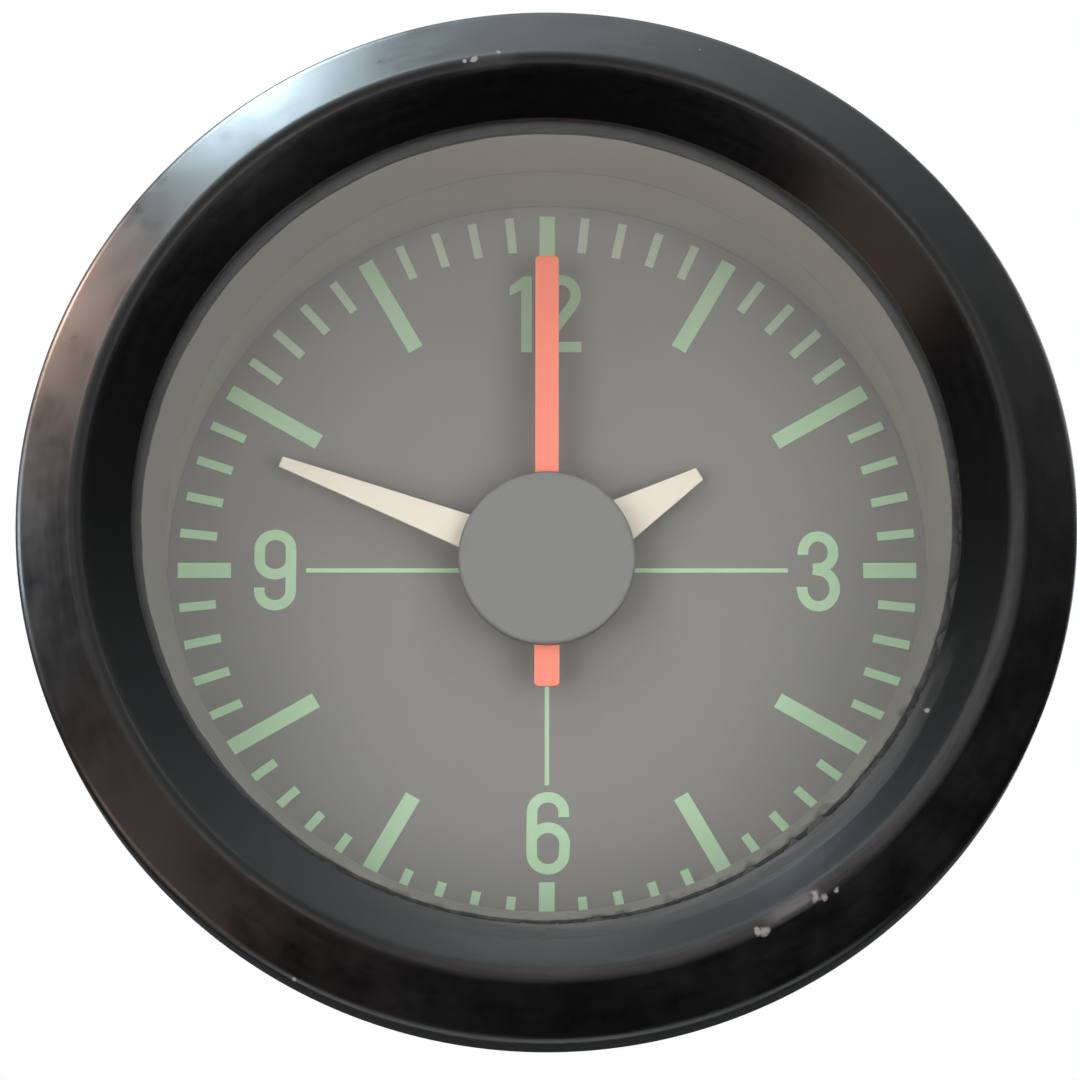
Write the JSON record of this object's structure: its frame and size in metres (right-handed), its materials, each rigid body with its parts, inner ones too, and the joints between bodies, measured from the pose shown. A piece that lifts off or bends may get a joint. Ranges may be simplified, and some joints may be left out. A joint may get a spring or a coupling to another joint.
{
  "type": "motorcycle clock",
  "caption": "Round panel clock with a black rolled bezel, grey dial, white hands, red second hand, quartz movement and rear setting knob.",
  "frame": {"origin": "on the barrel's axis, in the plane where the bezel's rear face seats on the panel", "axes": "+Z towards twelve o'clock, +X towards three o'clock, +Y into the panel; the dial faces -Y"},
  "size_m": [0.069, 0.0672, 0.069],
  "materials": {
    "bezel_black": "satin black lacquer, chipped in places",
    "clear_glass": "polished",
    "black_rubber": "matt",
    "ring_plastic": "fine matt grey",
    "dial_grey": "flat grey lacquer",
    "dial_print": "pale green luminous print",
    "housing_black": "semi-matt black lacquer",
    "hand_white": "flat off-white lacquer",
    "hand_red": "flat salmon red lacquer",
    "cap_grey": "flat grey",
    "plate_plastic": "moulded off-white",
    "brass": "brushed",
    "steel": "bright zinc plated",
    "arbor_steel": "polished",
    "nylon": "natural",
    "magnet": "sintered, dark",
    "stator_steel": "stamped",
    "copper_wire": "enamelled copper",
    "board_green": "glass fibre laminate",
    "chip_black": "moulded",
    "capacitor_blue": "plastic sleeve",
    "knob_black": "moulded",
    "bulb_glass": "clear",
    "block_brown": "pressed resin",
    "tinned_brass": "tinned"
  },
  "bodies": {
    "case": {"bezel": "bezel_black", "lens": "clear_glass", "lens_seal": "black_rubber", "reflector_ring": "ring_plastic", "dial": "dial_grey", "dial_print": "dial_print", "housing": "housing_black", "front_plate": "plate_plastic", "rear_plate": "brass", "pillars": "brass", "board_spacers": "steel", "rear_spacers": "steel", "case_screws": "steel", "stator": "stator_steel", "coil_core": "stator_steel", "coil_bobbin": "nylon", "coil_winding": "copper_wire", "motor_screws": "steel", "circuit_board": "board_green", "quartz_crystal": "arbor_steel", "driver_chip": "chip_black", "capacitor": "capacitor_blue", "return_spring": "arbor_steel", "stem_bush": "brass", "lamp_holder": "knob_black", "lamp_bulb": "bulb_glass", "terminal_block": "block_brown", "terminal_blades": "tinned_brass", "mounting_studs": "steel", "stud_washers": "steel", "stud_nuts": "steel"},
    "second_train": {"second_arbor": "arbor_steel", "second_wheel": "brass", "second_hand": "hand_red", "hand_cap": "cap_grey"},
    "third_train": {"third_wheel": "brass"},
    "minute_train": {"centre_wheel": "brass", "cannon_pinion": "brass", "minute_hand": "hand_white"},
    "motion_train": {"motion_wheel": "brass", "motion_arbor": "arbor_steel"},
    "hour_train": {"hour_wheel": "brass", "hour_hand": "hand_white"},
    "intermediate_train": {"intermediate_wheel": "nylon"},
    "rotor": {"rotor_arbor": "nylon", "rotor_magnet": "magnet"},
    "push_washer": {"spring_washer": "steel"},
    "knob_and_stem": {"setting_knob": "knob_black", "setting_stem": "arbor_steel", "stem_clip": "steel"}
  },
  "joints": [
    {"name": "second_spin", "type": "hinge", "parent": "case", "child": "second_train", "pos_m": [0, 0, 0], "axis": [0, 1, 0], "continuous": true},
    {"name": "third_spin", "type": "hinge", "parent": "case", "child": "third_train", "pos_m": [-0.00779, 0, 0.0045], "axis": [0, 1, 0], "continuous": true},
    {"name": "minute_spin", "type": "hinge", "parent": "case", "child": "minute_train", "pos_m": [0, 0, 0], "axis": [0, 1, 0], "continuous": true},
    {"name": "motion_spin", "type": "hinge", "parent": "case", "child": "motion_train", "pos_m": [0, 0, -0.01], "axis": [0, 1, 0], "continuous": true},
    {"name": "hour_spin", "type": "hinge", "parent": "case", "child": "hour_train", "pos_m": [0, 0, 0], "axis": [0, 1, 0], "continuous": true},
    {"name": "intermediate_spin", "type": "hinge", "parent": "case", "child": "intermediate_train", "pos_m": [0.00846, 0, 0.00308], "axis": [0, 1, 0], "continuous": true},
    {"name": "rotor_spin", "type": "hinge", "parent": "case", "child": "rotor", "pos_m": [0.01206, 0, -0.00316], "axis": [0, 1, 0], "continuous": true},
    {"name": "knob_push", "type": "slide", "parent": "case", "child": "push_washer", "axis": [0, -1, 0], "range_m": [0, 0.0018], "stiffness_N_per_m": 400, "springref_m": -0.0012, "deforming": ["return_spring"]},
    {"name": "knob_turn", "type": "hinge", "parent": "push_washer", "child": "knob_and_stem", "pos_m": [0, 0, -0.01], "axis": [0, 1, 0], "continuous": true}
  ],
  "couplings": [
    {"joint": "third_spin", "follows": "second_spin", "ratio": -0.13333},
    {"joint": "minute_spin", "follows": "second_spin", "ratio": 0.016667},
    {"joint": "motion_spin", "follows": "second_spin", "ratio": -0.0055556},
    {"joint": "hour_spin", "follows": "second_spin", "ratio": 0.0013889},
    {"joint": "intermediate_spin", "follows": "second_spin", "ratio": -6},
    {"joint": "rotor_spin", "follows": "second_spin", "ratio": 30}
  ]
}
